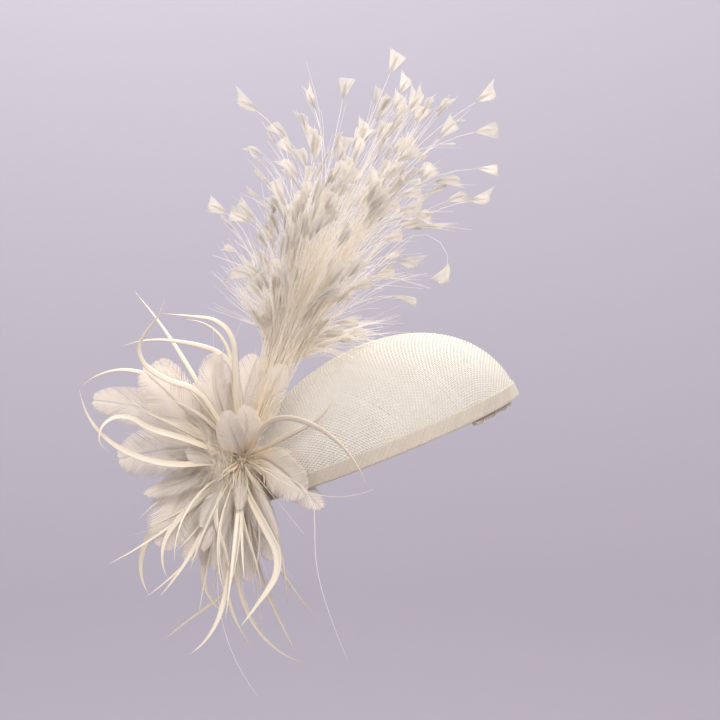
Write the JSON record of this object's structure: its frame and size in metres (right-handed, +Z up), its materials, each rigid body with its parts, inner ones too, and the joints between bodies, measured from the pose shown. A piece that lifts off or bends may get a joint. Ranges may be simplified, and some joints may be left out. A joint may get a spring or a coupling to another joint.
{
  "type": "feathered fascinator",
  "caption": "Fascinator with a blocked sinamay dome, a flower of curled goose feathers and biots, a plume of stripped hackles, and a comb that swings inside the rim.",
  "frame": {"origin": "centre of the dome's rim plane, where the wearer's head holds it, in its worn tilt", "axes": "+Z up, the wearer faces -Y, and the wearer's left is +X"},
  "size_m": [0.2696, 0.2012, 0.382],
  "materials": {
    "sinamay": "open weave of stiffened straw thread, ivory",
    "lining": "open weave, ivory",
    "binding": "folded bias strip of the same weave",
    "ribbon": "ribbed grosgrain",
    "wire": "cotton-covered millinery wire",
    "felt": "pressed felt",
    "thread": "bound thread and tape",
    "comb": "translucent moulded plastic",
    "goose": "goose feather, barbs on both sides of a thin quill",
    "biot": "curled goose biot, satin",
    "hackle": "stripped quill with a trimmed tip, satin"
  },
  "bodies": {
    "root": {"sinamay_outer": "sinamay", "sinamay_lining": "lining", "rim_wire": "wire", "rim_binding": "binding", "head_ribbon": "ribbon", "comb_loop_front": "thread", "comb_loop_middle": "thread", "comb_loop_back": "thread", "flower_pad": "felt", "flower_stem": "thread", "plume_stem": "thread", "petal_left": "goose", "petal_upper_left": "goose", "petal_upper_left_back": "goose", "petal_upper_shaded": "goose", "petal_upper_right": "goose", "petal_centre_left": "goose", "petal_centre_right": "goose", "petal_lower_left": "goose", "petal_over_brim": "goose", "petal_lower_right": "goose", "petal_far_left": "goose", "biot_spike": "biot", "biot_low_arch": "biot", "biot_top_arch": "biot", "biot_inner_arch": "biot", "biot_left_hook": "biot", "biot_far_arch": "biot", "biot_left_long": "biot", "biot_left_loop": "biot", "biot_low_far_left": "biot", "biot_low_left": "biot", "biot_low_left_sweep": "biot", "biot_low_cross": "biot", "biot_low_curl": "biot", "biot_low_outward": "biot", "biot_low_long": "biot", "biot_low_right": "biot", "biot_cream": "biot", "biot_brim_hook": "biot", "biot_brim_up": "biot", "quill_low_right": "hackle", "quill_hair": "hackle", "quill_lowest": "hackle", "hackle_bright_low": "hackle", "hackle_bright_right": "hackle", "hackle_bright_left": "hackle", "hackle_droop": "hackle", "hackle_right": "hackle", "hackle_top": "hackle", "hackle_left_high": "hackle", "hackle_right_low": "hackle", "hackle_upper_right": "hackle", "hackle_top_middle": "hackle", "hackle_left": "hackle", "hackle_bunch_front": "hackle", "hackle_bunch_back": "hackle", "hackle_bunch_left": "hackle", "hackle_bunch_right": "hackle"},
    "comb": {"hair_comb": "comb"}
  },
  "joints": [
    {"name": "comb_hinge", "type": "hinge", "parent": "root", "child": "comb", "pos_m": [0.06466, -0.03693, 0.01988], "axis": [-0.5165, -0.8221, -0.2396], "range_deg": [0, 50]}
  ]
}
